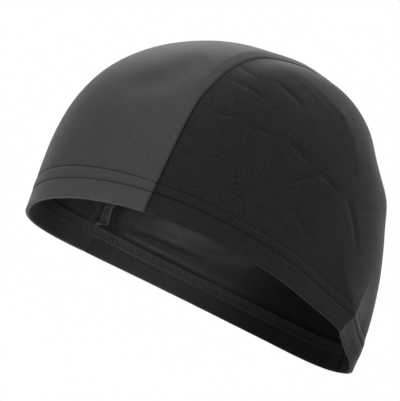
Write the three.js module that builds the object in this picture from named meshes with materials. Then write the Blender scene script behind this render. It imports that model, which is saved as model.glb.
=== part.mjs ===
// A stretch fabric swim cap of three panels, in the form that it takes on a head.
// Lengths are millimetres. +Z is up, the forehead lies toward -Y, the wearer's left is +X,
// and the origin is the middle of the head opening, on the level of the hem's lowest points.
import * as THREE from 'three';

// Head opening, measured round the outside of the hem
const HALF_WIDTH = 70;
const FRONT_REACH = 101;
const BACK_REACH = 97;
const EAR_RISE = 10;

// Dome above the opening
const CROWN_HEIGHT = 135;
const CROWN_SETBACK = 6.5;
const WORN_TILT_DEG = 25;

// Cloth, hem and seams
const CLOTH = 1.2;
const HEM_DEPTH = 18;
const HEM_PLY_GAP = 0.4;
const SEAM_GAP = 0.3;
const ALLOWANCE_HEIGHT = 5.5;
const ALLOWANCE_THICKNESS = 1.8;
const ALLOWANCE_CLEARANCE = 0.3;
const ALLOWANCE_LEAN_DEG = 28;

// Outline of the opening: rounder or squarer halves, and a back that is narrower than the front
const FRONT_FULLNESS = 2.26;
const BACK_FULLNESS = 2.0;
const BACK_NARROWING = 0.145;

// Side view of the dome. fall: how early the wall leans in. swell: how far it bulges first.
const DOME_QUARTERS = {
  front: { fall: 0.84, swell: 0.163 },
  side: { fall: 0.54, swell: 0.03 },
  back: { fall: 1.04, swell: -0.068 },
};
const HEIGHT_GROWTH = 0.787;

// Plan of the left seam, from beside the temple over the crown to the nape.
// out is a share of HALF_WIDTH, along a share of FRONT_REACH (minus) or BACK_REACH (plus).
const SEAM_PLAN = [
  { out: 1.6, along: -0.557 },
  { out: 0.957, along: -0.557 },
  { out: 0.9, along: -0.507 },
  { out: 0.76, along: -0.34 },
  { out: 0.545, along: -0.01 },
  { out: 0.41, along: 0.33 },
  { out: 0.27, along: 0.58 },
  { out: 0.15, along: 0.88 },
  { out: 0.12, along: 1.3 },
];

// Shallow dents (plus) and swells (minus) of the worn cloth.
// around and rise place the middle in degrees, wide and tall are half spreads in degrees,
// and depth is a share of CLOTH. side is 1 on the wearer's left and -1 on the right.
const DENTS = [
  { side: 1, around: 133, rise: 0, wide: 9, tall: 7, depth: -1.9 },
  { side: 1, around: 119, rise: 2, wide: 9, tall: 8, depth: 1.3 },
  { side: 1, around: 150, rise: 2, wide: 9, tall: 8, depth: 1.2 },
  { side: 1, around: 139, rise: 47, wide: 16, tall: 8, depth: 1.1 },
  { side: 1, around: 150, rise: 35, wide: 13, tall: 5.5, depth: -1.1 },
  { side: 1, around: 62, rise: 67, wide: 16, tall: 8, depth: 0.8 },
  { side: -1, around: 128, rise: 3, wide: 14, tall: 9, depth: 1.2 },
  { side: -1, around: 158, rise: 28, wide: 18, tall: 10, depth: -1.2 },
];
const SEAM_TUCK = 0.7;
const SEAM_TUCK_SPREAD = 5;

// Fineness of the facets
const COLUMNS = 64;
const WALL_ROWS = 19;
const HEM_ROWS = 2;
const FOLD_TURNS = [135, 90, 45];
const ALLOWANCE_STATIONS = 56;
const SEAM_SAMPLES = 96;

const radians = THREE.MathUtils.degToRad;
const QUARTER_TURN = Math.PI / 2;

function signedPower(value, power) {
  return Math.sign(value) * Math.abs(value) ** power;
}

// The hem's edge at an angle round the opening: 0 is the forehead and a quarter turn the left ear
function edgePoint(around) {
  const sine = Math.sin(around);
  const cosine = Math.cos(around);
  const power = 2 / (cosine > 0 ? FRONT_FULLNESS : BACK_FULLNESS);
  const reach = cosine > 0 ? FRONT_REACH : BACK_REACH;
  const along = -reach * signedPower(cosine, power);
  const narrowing = 1 - BACK_NARROWING * (along / BACK_REACH);
  return {
    out: HALF_WIDTH * signedPower(sine, power) * narrowing,
    along,
    height: EAR_RISE * sine * sine,
  };
}

// A smooth point of the dome's outside. rise is 0 at the edge and a quarter turn at the crown.
function domePoint(around, rise) {
  const edge = edgePoint(around);
  const sine = Math.sin(around);
  const cosine = Math.cos(around);
  const weights = {
    front: Math.max(cosine, 0) ** 2,
    side: sine * sine,
    back: Math.max(-cosine, 0) ** 2,
  };
  let fall = 0;
  let swell = 0;
  for (const [quarter, weight] of Object.entries(weights)) {
    fall += DOME_QUARTERS[quarter].fall * weight;
    swell += DOME_QUARTERS[quarter].swell * weight;
  }
  const climb = Math.sin(rise);
  const lean = Math.max(Math.cos(rise), 0) ** fall * (1 + swell * Math.sin(2 * rise));
  const grown = climb ** HEIGHT_GROWTH;
  return new THREE.Vector3(
    edge.out * lean,
    edge.along * lean + CROWN_SETBACK * climb * climb,
    edge.height * (1 - grown) + CROWN_HEIGHT * grown,
  );
}

function domeNormal(around, rise) {
  const step = 0.01;
  const low = THREE.MathUtils.clamp(rise, step, QUARTER_TURN - 2 * step);
  const here = domePoint(around, low);
  const round = domePoint(around + step, low).sub(here);
  const up = domePoint(around, low + step).sub(here);
  const normal = round.cross(up).normalize();
  return rise > QUARTER_TURN - step ? new THREE.Vector3(0, 0, 1) : normal;
}

// The rise at which the dome stands a given height above its own edge
function riseAtHeight(around, height) {
  const share = height / (CROWN_HEIGHT - edgePoint(around).height);
  return Math.asin(THREE.MathUtils.clamp(share, 0, 1) ** (1 / HEIGHT_GROWTH));
}

// The seam's plan as a smooth line
const seamCurve = new THREE.CatmullRomCurve3(
  SEAM_PLAN.map(({ out, along }) => new THREE.Vector3(
    out * HALF_WIDTH,
    along * (along < 0 ? FRONT_REACH : BACK_REACH),
    0,
  )),
  false,
  'centripetal',
);
const seamLine = seamCurve.getSpacedPoints(SEAM_SAMPLES);

// Distance in plan to the seam of that side: plus on the centre panel, minus on the side panel
function seamDistance(point) {
  const x = Math.abs(point.x);
  let nearest = Infinity;
  let sign = 1;
  for (let i = 0; i < SEAM_SAMPLES; i += 1) {
    const start = seamLine[i];
    const runX = seamLine[i + 1].x - start.x;
    const runY = seamLine[i + 1].y - start.y;
    const toX = x - start.x;
    const toY = point.y - start.y;
    const share = THREE.MathUtils.clamp((toX * runX + toY * runY) / (runX ** 2 + runY ** 2), 0, 1);
    const distance = Math.hypot(toX - share * runX, toY - share * runY);
    if (distance < nearest) {
      nearest = distance;
      sign = runX * toY - runY * toX > 0 ? 1 : -1;
    }
  }
  return sign * nearest;
}

function dentDepth(around, rise) {
  let depth = 0;
  for (const dent of DENTS) {
    const middle = radians(dent.side * dent.around);
    const away = Math.atan2(Math.sin(around - middle), Math.cos(around - middle));
    const wide = away / radians(dent.wide);
    const tall = (rise - radians(dent.rise)) / radians(dent.tall);
    depth += dent.depth * CLOTH * Math.exp(-wide * wide - tall * tall);
  }
  return depth;
}

// A point of the worn cloth: depth is measured inward from its outside
function clothPoint(around, rise, depth) {
  const point = domePoint(around, rise);
  const normal = domeNormal(around, rise);
  const offSeam = seamDistance(point) / SEAM_TUCK_SPREAD;
  const tuck = SEAM_TUCK * Math.exp(-offSeam * offSeam);
  return point.addScaledVector(normal, -(depth + tuck + dentDepth(around, rise)));
}

// One row of the folded cloth: where its right and its wrong side lie round the cap.
// The rows run from the free edge of the turned-up ply down to the fold and up to the crown.
function clothRows() {
  const foldRadius = CLOTH + HEM_PLY_GAP / 2;
  const rows = [];
  const plyRow = (height) => ({ height, right: 2 * foldRadius, wrong: CLOTH + HEM_PLY_GAP });
  for (let i = 0; i <= HEM_ROWS; i += 1) {
    rows.push(plyRow(THREE.MathUtils.lerp(HEM_DEPTH, foldRadius, i / HEM_ROWS)));
  }
  for (const turn of FOLD_TURNS) {
    const cosine = Math.cos(radians(turn));
    const sine = Math.sin(radians(turn));
    rows.push({
      height: foldRadius * (1 - sine),
      wrongHeight: foldRadius - (HEM_PLY_GAP / 2) * sine,
      right: foldRadius * (1 - cosine),
      wrong: foldRadius - (HEM_PLY_GAP / 2) * cosine,
    });
  }
  for (let i = 0; i < HEM_ROWS; i += 1) {
    rows.push({
      height: THREE.MathUtils.lerp(foldRadius, HEM_DEPTH, i / HEM_ROWS), right: 0, wrong: CLOTH,
    });
  }
  for (let i = 0; i <= WALL_ROWS; i += 1) {
    rows.push({ height: HEM_DEPTH, upShare: i / WALL_ROWS, right: 0, wrong: CLOTH });
  }
  return rows;
}

function rowRise(row, around, height) {
  const rise = riseAtHeight(around, height);
  return row.upShare === undefined ? rise : THREE.MathUtils.lerp(rise, QUARTER_TURN, row.upShare);
}

function clothGrid() {
  return clothRows().map((row) => {
    const cells = [];
    for (let column = 0; column < COLUMNS; column += 1) {
      const around = (2 * Math.PI * column) / COLUMNS;
      cells.push({
        smooth: domePoint(around, rowRise(row, around, row.height)),
        right: clothPoint(around, rowRise(row, around, row.height), row.right),
        wrong: clothPoint(around, rowRise(row, around, row.wrongHeight ?? row.height), row.wrong),
      });
    }
    return cells;
  });
}

const grid = clothGrid();

// Cuts one panel from the folded cloth. keep gives plus inside the panel for a smooth dome point,
// so that the turned-up ply and the wall outside it are cut on the same line.
function cutPanel(name, keep) {
  const corners = [];
  const cornerIndex = new Map();
  const lastRow = grid.length - 1;

  function keyOf(row, column) {
    return row === lastRow ? 'crown' : `${row}:${column % COLUMNS}`;
  }

  function addCorner(key, corner) {
    if (!cornerIndex.has(key)) {
      cornerIndex.set(key, corners.length);
      corners.push(corner);
    }
    return cornerIndex.get(key);
  }

  function between(first, second, share) {
    return {
      smooth: first.smooth.clone().lerp(second.smooth, share),
      right: first.right.clone().lerp(second.right, share),
      wrong: first.wrong.clone().lerp(second.wrong, share),
    };
  }

  // Where the panel's edge crosses the line from a corner inside to a corner outside
  function crossing(inside, outside) {
    let near = 0;
    let far = 1;
    for (let i = 0; i < 30; i += 1) {
      const middle = (near + far) / 2;
      if (keep(between(inside, outside, middle).smooth) > 0) near = middle;
      else far = middle;
    }
    return between(inside, outside, near);
  }

  const faces = [];
  for (let row = 0; row < lastRow; row += 1) {
    for (let column = 0; column < COLUMNS; column += 1) {
      const places = [[row, column], [row, column + 1], [row + 1, column + 1], [row + 1, column]];
      const ring = places
        .map(([r, c]) => ({ key: keyOf(r, c), corner: grid[r][c % COLUMNS] }))
        .filter((item, i, all) => item.key !== all[(i + 1) % all.length].key);
      const face = [];
      ring.forEach((item, i) => {
        const next = ring[(i + 1) % ring.length];
        const here = keep(item.corner.smooth) > 0;
        const there = keep(next.corner.smooth) > 0;
        if (here) face.push(addCorner(item.key, item.corner));
        if (here !== there) {
          const [inner, outer] = here ? [item, next] : [next, item];
          const key = `${inner.key}>${outer.key}`;
          face.push(addCorner(key, crossing(inner.corner, outer.corner)));
        }
      });
      if (face.length > 2) faces.push(face);
    }
  }
  return closedSheet(name, corners, faces);
}

// Gives a sheet of faces its right side, its wrong side and its cut edges
function closedSheet(name, corners, faces) {
  const count = corners.length;
  const triangles = [];
  const edges = new Map();
  for (const face of faces) {
    for (let i = 1; i < face.length - 1; i += 1) {
      triangles.push([face[0], face[i], face[i + 1]]);
      triangles.push([face[i + 1] + count, face[i] + count, face[0] + count]);
    }
    face.forEach((start, i) => {
      const end = face[(i + 1) % face.length];
      if (edges.has(`${end},${start}`)) edges.delete(`${end},${start}`);
      else edges.set(`${start},${end}`, [start, end]);
    });
  }
  for (const [start, end] of edges.values()) {
    triangles.push([end, start, start + count]);
    triangles.push([end, start + count, end + count]);
  }
  const points = [...corners.map(({ right }) => right), ...corners.map(({ wrong }) => wrong)];
  return solidMesh(name, points, triangles);
}

function solidMesh(name, points, triangles) {
  const geometry = new THREE.BufferGeometry();
  const positions = points.flatMap((point) => point.toArray());
  geometry.setAttribute('position', new THREE.Float32BufferAttribute(positions, 3));
  geometry.setIndex(triangles.flat());
  geometry.computeVertexNormals();
  const mesh = new THREE.Mesh(geometry, materials[name]);
  mesh.name = name;
  return mesh;
}

// The seam on the dome's outside, found along rays that fan out from the middle of a side panel's hem
function seamPlaces(side) {
  const middle = radians(118);
  const spread = radians(75);
  const places = [];
  for (let i = 0; i <= SEAM_SAMPLES; i += 1) {
    const ray = (Math.PI * i) / SEAM_SAMPLES;
    let near = 0;
    let far = 1;
    const at = (share) => ({
      around: side * (middle - share * spread * Math.cos(ray)),
      rise: share * QUARTER_TURN * Math.sin(ray),
    });
    for (let j = 0; j < 30; j += 1) {
      const share = (near + far) / 2;
      const { around, rise } = at(share);
      if (seamDistance(domePoint(around, rise)) < 0) near = share;
      else far = share;
    }
    places.push(at(near));
  }
  return places;
}

// The overlocked edges of two panels, which stand off the inside of the wall along their seam
function seamAllowance(name, side) {
  const lowest = HEM_DEPTH + ALLOWANCE_CLEARANCE;
  const route = seamPlaces(side).filter(({ around, rise }) => rise > riseAtHeight(around, lowest));
  const line = new THREE.CatmullRomCurve3(
    route.map(({ around, rise }) => new THREE.Vector3(around, rise, 0)),
  );
  const lean = radians(ALLOWANCE_LEAN_DEG);
  const half = ALLOWANCE_THICKNESS / 2;
  const section = [
    [0, -half], [ALLOWANCE_HEIGHT - half, -half], [ALLOWANCE_HEIGHT, -half / 2],
    [ALLOWANCE_HEIGHT, half / 2], [ALLOWANCE_HEIGHT - half, half], [0, half],
  ];
  const points = [];
  const triangles = [];
  const places = [];
  for (let i = 0; i <= ALLOWANCE_STATIONS; i += 1) {
    const { x: around, y: rise } = line.getPoint(i / ALLOWANCE_STATIONS);
    places.push({ around, rise, foot: clothPoint(around, rise, CLOTH + ALLOWANCE_CLEARANCE) });
  }
  places.forEach(({ around, rise, foot }, i) => {
    const before = places[Math.max(i - 1, 0)].foot;
    const after = places[Math.min(i + 1, ALLOWANCE_STATIONS)].foot;
    const forward = after.clone().sub(before).normalize();
    const inward = domeNormal(around, rise).negate();
    const across = inward.clone().cross(forward).normalize().multiplyScalar(side);
    const stand = inward.clone().multiplyScalar(Math.cos(lean)).addScaledVector(across, Math.sin(lean));
    const flat = across.clone().multiplyScalar(Math.cos(lean)).addScaledVector(inward, -Math.sin(lean));
    const base = foot.clone().addScaledVector(inward, half * Math.sin(lean));
    for (const [up, aside] of section) {
      points.push(base.clone().addScaledVector(stand, up).addScaledVector(flat, aside));
    }
  });
  const sides = section.length;
  for (let i = 0; i < ALLOWANCE_STATIONS; i += 1) {
    for (let j = 0; j < sides; j += 1) {
      const near = i * sides;
      const far = near + sides;
      const next = (j + 1) % sides;
      triangles.push([near + j, far + j, far + next], [near + j, far + next, near + next]);
    }
  }
  const end = ALLOWANCE_STATIONS * sides;
  for (let j = 1; j < sides - 1; j += 1) {
    triangles.push([0, j, j + 1], [end, end + j + 1, end + j]);
  }
  return solidMesh(name, points, outward(points, triangles));
}

// Turns a closed set of triangles so that its faces point out
function outward(points, triangles) {
  let volume = 0;
  for (const [a, b, c] of triangles) {
    volume += points[a].dot(points[b].clone().cross(points[c]));
  }
  return volume > 0 ? triangles : triangles.map(([a, b, c]) => [a, c, b]);
}

const CHARCOAL = 0x464648;
const BLACK = 0x27272a;
const THREAD = 0x4e4e50;

function cloth(color) {
  return new THREE.MeshStandardMaterial({ color, roughness: 0.62, metalness: 0 });
}

const materials = {
  centre_panel: cloth(CHARCOAL),
  left_side_panel: cloth(BLACK),
  right_side_panel: cloth(BLACK),
  left_seam_allowance: cloth(THREAD),
  right_seam_allowance: cloth(THREAD),
};

const cap = new THREE.Group();
cap.rotation.x = -radians(WORN_TILT_DEG);
cap.add(cutPanel('centre_panel', (point) => seamDistance(point) - SEAM_GAP / 2));
for (const [word, side] of [['left', 1], ['right', -1]]) {
  cap.add(cutPanel(
    `${word}_side_panel`,
    (point) => Math.min(-seamDistance(point) - SEAM_GAP / 2, side * point.x + SEAM_GAP),
  ));
  cap.add(seamAllowance(`${word}_seam_allowance`, side));
}

export default cap;
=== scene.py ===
"""A stretch fabric swim cap of three panels, held up as a head holds it.

The cloth is worked out in millimetres in the cap's own upright frame, as the solids are, and
to_frame() tilts it and turns it into metres.
"""
import math

import bpy
import numpy as np
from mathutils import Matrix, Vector
from mathutils.kdtree import KDTree


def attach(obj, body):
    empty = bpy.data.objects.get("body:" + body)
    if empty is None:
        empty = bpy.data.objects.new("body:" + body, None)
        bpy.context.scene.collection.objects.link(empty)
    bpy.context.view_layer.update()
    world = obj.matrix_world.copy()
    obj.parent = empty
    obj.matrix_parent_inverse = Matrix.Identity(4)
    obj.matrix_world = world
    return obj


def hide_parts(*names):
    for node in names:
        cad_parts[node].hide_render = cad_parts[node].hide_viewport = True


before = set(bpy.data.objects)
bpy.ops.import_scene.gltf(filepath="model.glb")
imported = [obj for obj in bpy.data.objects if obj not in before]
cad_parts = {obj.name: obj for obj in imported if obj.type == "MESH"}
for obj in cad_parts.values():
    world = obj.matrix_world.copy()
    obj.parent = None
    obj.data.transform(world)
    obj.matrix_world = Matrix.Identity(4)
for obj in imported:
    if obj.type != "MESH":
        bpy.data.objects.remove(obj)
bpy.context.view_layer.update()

MM = 0.001
QUARTER_TURN = math.pi / 2
SIDES = (("left", 1), ("right", -1))

# Head opening and dome, as the solids have them
HALF_WIDTH = 70
FRONT_REACH = 101
BACK_REACH = 97
EAR_RISE = 10
CROWN_HEIGHT = 135
CROWN_SETBACK = 6.5
WORN_TILT_DEG = 25
FRONT_FULLNESS = 2.26
BACK_FULLNESS = 2.0
BACK_NARROWING = 0.145
HEIGHT_GROWTH = 0.787
DOME_QUARTERS = {
    "front": {"fall": 0.84, "swell": 0.163},
    "side": {"fall": 0.54, "swell": 0.03},
    "back": {"fall": 1.04, "swell": -0.068},
}
SEAM_PLAN = [
    {"out": 1.6, "along": -0.557},
    {"out": 0.957, "along": -0.557},
    {"out": 0.9, "along": -0.507},
    {"out": 0.76, "along": -0.34},
    {"out": 0.545, "along": -0.01},
    {"out": 0.41, "along": 0.33},
    {"out": 0.27, "along": 0.58},
    {"out": 0.15, "along": 0.88},
    {"out": 0.12, "along": 1.3},
]
DENT_UNIT = 1.2
DENTS = [
    {"around": 133, "rise": 0, "wide": 9, "tall": 7, "depth": -1.9},
    {"around": 119, "rise": 2, "wide": 9, "tall": 8, "depth": 1.3},
    {"around": 150, "rise": 2, "wide": 9, "tall": 8, "depth": 1.2},
    {"around": 139, "rise": 47, "wide": 16, "tall": 8, "depth": 1.1},
    {"around": 150, "rise": 35, "wide": 13, "tall": 5.5, "depth": -1.1},
    {"around": 62, "rise": 67, "wide": 16, "tall": 8, "depth": 0.8},
    {"around": -128, "rise": 3, "wide": 14, "tall": 9, "depth": 1.2},
    {"around": -158, "rise": 28, "wide": 18, "tall": 10, "depth": -1.2},
]

# Cloth, hem and seams
CLOTH = 0.9
HEM_DEPTH = 18
HEM_PLY_GAP = 0.2
FOLD_RADIUS = CLOTH + HEM_PLY_GAP / 2
SEAM_GAP = 0.7
HEM_SEAM_GAP = 0.04
SEWN_SEAM_LAP = 0.12
# A black thread down in each seam's gap, which is partly painted shade of the seam's ditch
SEAM_SHADE_THREAD_RADIUS = 0.27
SEAM_SHADE_THREAD_DEPTH = -0.14
SEAM_TUCK = 0.6
SEAM_ROLL = 0.9
SEAM_ROLL_STARTS_DEG = (12, 34)
STRIP_ROLL_WIDTH = 5.2
SIDE_ROLL_SPREAD = 9
SEAM_GROOVE = 1.1
SEAM_GROOVE_SPREAD = 0.65

# Two needle rows hold the hem, and a looper thread zigzags between them on the inside. The upper
# row and the ply's free edge settle lower at the sides and the back than on the forehead.
NEEDLE_ROWS = (10.8, 17.2)
SIDE_UPPER_ROW = 15.5
FRONT_UPPER_ROW = 17.7
NEEDLE_GROOVE = 0.45
NEEDLE_GROOVE_SPREAD = 0.42
NEEDLE_GROOVE_STEPS = (-0.75, -0.42, -0.2, 0, 0.2, 0.42, 0.75)
NEEDLE_ROW_CLOSE = 1.1
HEM_PUFF = 0.16
HEM_PUFF_SHARPNESS = 1.3
HEM_TOP_DIP = 0.22
HEM_TOP_DIP_ABOVE = 0.6
HEM_TOP_DIP_SPREAD = 1.3
STITCH_PITCH = 1.8
STITCH_LENGTH = 1.15
STITCH_LIFT = 0.12
STITCH_DIP = 0.34
STITCH_TAPER = (0.35, 0.8, 1, 1, 1, 0.8, 0.35)
THREAD_RADIUS = 0.23
LOOPER_RADIUS = 0.13
LOOPER_INSET = 1.2
LOOPER_LIFTS = (1.2, 3.0)
LOOPER_SWAY = 0.05
LOOPER_SLANT = 0.12
LOOP_LENGTH = 2.0
LOOP_WIDTH = 0.9
LOOP_LIFT = 1.5
LOOP_LIFT_CHANGE = 0.9

# Overlocked edges inside each seam
ALLOWANCE_HEIGHT = 5.0
ALLOWANCE_THICKNESS = 1.5
ALLOWANCE_CLEARANCE = 0.3
ALLOWANCE_STARTS = 17.7
ALLOWANCE_LEAN_DEG = 22
ALLOWANCE_END_LEAN_DEG = 42
ALLOWANCE_END_CURL = 7
ALLOWANCE_END_FADE = 1.6
ALLOWANCE_END_HEIGHT = 0.9
ALLOWANCE_WAVES = [
    {"size": 0.4, "length": 11},
    {"size": 0.2, "length": 4.07},
]
OVERLOCK_PITCH = 1.0
OVERLOCK_RADIUS = 0.3
OVERLOCK_WRAP_RADIUS = 0.13
NEEDLE_LINE = 1.2


def bend(width, depth, *way):
    """A crease or a ridge along places on the dome, each in degrees around and of rise. width is
    its half spread and depth is how far it goes in, in mm. A negative depth stands out."""
    return {"width": width, "depth": depth, "way": way}


# Creases that the cloth keeps from being folded
CREASES = [
    bend(1.1, 0.4, (60, 44.5), (63, 43), (67.5, 41.5), (71.5, 40.5)),
    bend(1.1, 0.62, (75, 43.5), (77, 43), (82, 41.5), (85.5, 40.5), (87, 37), (87, 33.5)),
    bend(1.0, 0.48, (63, 36.5), (65.5, 36), (70, 35.5), (75, 34.5), (79, 34)),
    bend(1.0, 0.7, (64, 24), (67.5, 24), (72, 24.7)),
    bend(1.0, 0.45, (74, 23.7), (80, 24.5), (86, 25.7)),
    bend(1.0, 1.1, (87.5, 26.3), (89, 25.5), (91.5, 24.5), (95, 23.2)),
    bend(1.0, 1.2, (91, 15.6), (92.5, 16.5), (96, 19), (100, 22.5), (101.5, 25.5)),
    bend(0.9, 0.9, (99, 22.5), (103.5, 22.5), (109, 21.8)),
    bend(1.0, 0.6, (120, 21.7), (122, 22.5), (129.5, 26), (142, 31)),
    bend(1.6, 0.7, (97, 11.8), (98, 11), (101, 9.5), (105.5, 7)),
    bend(1.8, 0.7, (114, 22), (115.5, 21), (120.5, 18), (127, 13)),
    bend(2.2, 0.6, (86, 6.6), (94, 6.9), (102, 7.2)),
    bend(0.9, -0.2, (76, 53), (86, 48.5), (95, 43.5), (101, 39)),
    bend(8.0, 1.6, (32, 22), (39, 25.5), (44, 28), (47, 33.5), (51, 41)),
    bend(2.0, -0.8, (-20, 5), (-38, 5), (-57, 5)),
    bend(1.5, -1.6, (-68, 5), (-90, 5), (-120, 5.1)),
    bend(3.6, -1.3, (-66, 4), (-68, 6.5), (-68, 10), (-66.5, 15)),
    bend(3.4, 1.0, (-69, 9), (-78, 12), (-90, 13.5), (-104, 13)),
    bend(2.0, -0.8, (-72, 7.5), (-84, 8.5), (-98, 9)),
    bend(2.6, 0.7, (-96, 10), (-108, 12), (-122, 16)),
    bend(2.0, 0.4, (-90, 45), (-104, 40), (-118, 41)),
    bend(1.6, 0.4, (-70, 38), (-84, 36), (-92, 31)),
    bend(1.8, 0.4, (-120, 24), (-132, 27), (-143, 25)),
]

# The edge of the worn hem at the left: how far in it is pulled at each angle around, in mm, and up
# to about what height
EDGE_PULLS = {
    "around": (108, 113, 120, 124, 127.5, 130.5, 135, 138, 142, 150, 160, 166, 172, 178),
    "pull": (0.0, -0.6, -1.5, -1.7, -0.7, 0.4, 2.2, 2.7, 2.7, 2.2, 2.3, 1.9, 0.8, 0.0),
    "tall": (9, 9, 9, 9, 9, 9, 9, 8, 7, 5, 5, 5, 5, 5),
}

# Where the worn hem bends sharply at the back corner, the fold that runs up from there, and the
# edge between the flat side and the top and back. Each fades from its first place to its last.
RIDGES = [
    bend(4, -1.2, (131.5, 0), (133.5, 1.5), (135.5, 3.5), (137, 6), (139.5, 9), (142, 13)),
    bend(5, -1.1, (134.5, 2.5), (133.5, 3.5), (129, 5.5), (124.5, 7.5), (120.5, 10.5), (118, 13.5)),
    bend(7, -0.8, (100.5, 46), (108, 40.5), (114, 34), (118, 27)),
    bend(7, -0.8, (100.5, 46), (91.5, 50), (81, 54), (73, 57)),
]

# How uneven the cloth is all over
BROAD_SLACK = 0.14
FINE_SLACK = 0.04

# Fineness of the cloth's grid
INNER_POINT = np.array([0.0, 5.0, 40.0])
HEM_ZONE = 19.5
PLAIN_HEM_ROWS = 15
PLY_ROWS = 9
FOLD_TURNS_DEG = (157.5, 135, 112.5, 90, 67.5, 45, 22.5)
SIDE_COLUMNS = 230
SIDE_ROWS = 112
CENTRE_COLUMNS = 116
CENTRE_ROWS = 250
INSIDE_TURN = 0.35
SHARP_EDGE_DEG = 50
SEAM_TREE_POINTS = 800
HEM_LINE_POINTS = 600
SEAM_SHADE_THREAD_POINTS = 640
ALLOWANCE_POINTS = 500
BISECTIONS = 30
SEAM_MIDDLE = math.radians(118)
SEAM_SPREAD = math.radians(75)
SIDE_MIDDLE_DEG = 106.2
SIDE_MIDDLE_RISE = 0.6


def signed_power(value, power):
    return np.sign(value) * np.abs(value) ** power


def edge(around):
    """The hem's edge at an angle round the opening: how far out, along and up it lies."""
    sine, cosine = np.sin(around), np.cos(around)
    front = cosine > 0
    power = 2 / np.where(front, FRONT_FULLNESS, BACK_FULLNESS)
    along = -np.where(front, FRONT_REACH, BACK_REACH) * signed_power(cosine, power)
    out = HALF_WIDTH * signed_power(sine, power) * (1 - BACK_NARROWING * along / BACK_REACH)
    return out, along, EAR_RISE * sine**2


def lean_in(around, rise):
    sine, cosine = np.sin(around), np.cos(around)
    weights = {"front": np.maximum(cosine, 0) ** 2, "side": sine**2, "back": np.maximum(-cosine, 0) ** 2}
    fall = sum(DOME_QUARTERS[name]["fall"] * weight for name, weight in weights.items())
    swell = sum(DOME_QUARTERS[name]["swell"] * weight for name, weight in weights.items())
    return np.maximum(np.cos(rise), 0) ** fall * (1 + swell * np.sin(2 * rise))


def dome(around, rise):
    """A smooth point of the outside. rise is 0 at the edge and a quarter turn at the crown."""
    out, along, height = edge(around)
    lean = lean_in(around, rise)
    climb = np.sin(rise)
    grown = climb**HEIGHT_GROWTH
    return np.stack(
        [
            out * lean,
            along * lean + CROWN_SETBACK * climb**2,
            height * (1 - grown) + CROWN_HEIGHT * grown,
        ],
        -1,
    )


def unit(vectors):
    return vectors / np.linalg.norm(vectors, axis=-1, keepdims=True)


def dome_normal(around, rise):
    step = 0.01
    low = np.clip(rise, step, QUARTER_TURN - 2 * step)
    here = dome(around, low)
    normal = unit(np.cross(dome(around + step, low) - here, dome(around, low + step) - here))
    normal[rise > QUARTER_TURN - step] = (0, 0, 1)
    return normal


def rise_at(around, height):
    """The rise at which the dome stands a given height above its own edge."""
    share = height / (CROWN_HEIGHT - edge(around)[2])
    return np.arcsin(np.clip(share, 0, 1) ** (1 / HEIGHT_GROWTH))


BEARING_TABLE = np.linspace(-math.pi, math.pi, 2881)
BEARINGS = np.arctan2(edge(BEARING_TABLE)[0], -edge(BEARING_TABLE)[1])


def beyond_dome(point):
    """Where a point in space lies on the dome's own scale, and whether it is past the cloth."""
    x, y, z = point[..., 0], point[..., 1], point[..., 2]
    setback = 0.0
    for _ in range(4):
        around = np.interp(np.arctan2(x, -(y - setback)), BEARINGS, BEARING_TABLE)
        out, along, height = edge(around)
        grown = np.clip((z - height) / (CROWN_HEIGHT - height), 0, 1)
        rise = np.arcsin(grown ** (1 / HEIGHT_GROWTH))
        setback = CROWN_SETBACK * np.sin(rise) ** 2
    reach = np.hypot(out, along) * lean_in(around, rise)
    return around, rise, np.hypot(x, y - setback) > reach


def dome_in_direction(direction):
    """The place on the dome that is seen from INNER_POINT in each direction."""
    near = np.zeros(direction.shape[:-1])
    far = near + 2 * CROWN_HEIGHT
    for _ in range(38):
        middle = (near + far) / 2
        around, rise, past = beyond_dome(INNER_POINT + direction * middle[..., None])
        near, far = np.where(past, near, middle), np.where(past, middle, far)
    return around, rise


def direction_of(around, rise):
    return unit(dome(around, rise) - INNER_POINT)


def seam_plan():
    """The left seam from above, as a centripetal Catmull-Rom curve through SEAM_PLAN."""
    knots = np.array([
        (row["out"] * HALF_WIDTH, row["along"] * (FRONT_REACH if row["along"] < 0 else BACK_REACH))
        for row in SEAM_PLAN
    ])
    knots = np.vstack([2 * knots[0] - knots[1], knots, 2 * knots[-1] - knots[-2]])
    share = np.linspace(0, 1, 24, endpoint=False)[:, None]
    line = []
    for before, start, end, after in zip(knots, knots[1:], knots[2:], knots[3:]):
        gap0, gap1, gap2 = (
            np.linalg.norm(b - a) ** 0.5 for a, b in ((before, start), (start, end), (end, after))
        )
        run = (end - start) / gap1
        leave = ((start - before) / gap0 - (end - before) / (gap0 + gap1) + run) * gap1
        arrive = (run - (after - start) / (gap1 + gap2) + (after - end) / gap2) * gap1
        line.append(
            start * (2 * share**3 - 3 * share**2 + 1) + leave * (share**3 - 2 * share**2 + share)
            + end * (3 * share**2 - 2 * share**3) + arrive * (share**3 - share**2)
        )
    return np.vstack([*line, knots[-2]])


SEAM_LINE = seam_plan()


def seam_side(point):
    """Distance in plan to the seam: plus on the centre panel, minus on a side panel."""
    start, run = SEAM_LINE[:-1], np.diff(SEAM_LINE, axis=0)
    to = np.stack([np.abs(point[..., 0]), point[..., 1]], -1)[..., None, :] - start
    share = np.clip((to * run).sum(-1) / (run**2).sum(-1), 0, 1)
    away = np.linalg.norm(to - share[..., None] * run, axis=-1)
    nearest = away.argmin(-1)[..., None]
    turn = run[:, 0] * to[..., 1] - run[:, 1] * to[..., 0]
    sign = np.where(np.take_along_axis(turn, nearest, -1) > 0, 1, -1)
    return (sign * np.take_along_axis(away, nearest, -1))[..., 0]


def bisect(inside, near, far):
    for _ in range(BISECTIONS):
        middle = (near + far) / 2
        keep = inside(middle)
        near, far = np.where(keep, middle, near), np.where(keep, far, middle)
    return near


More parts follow.
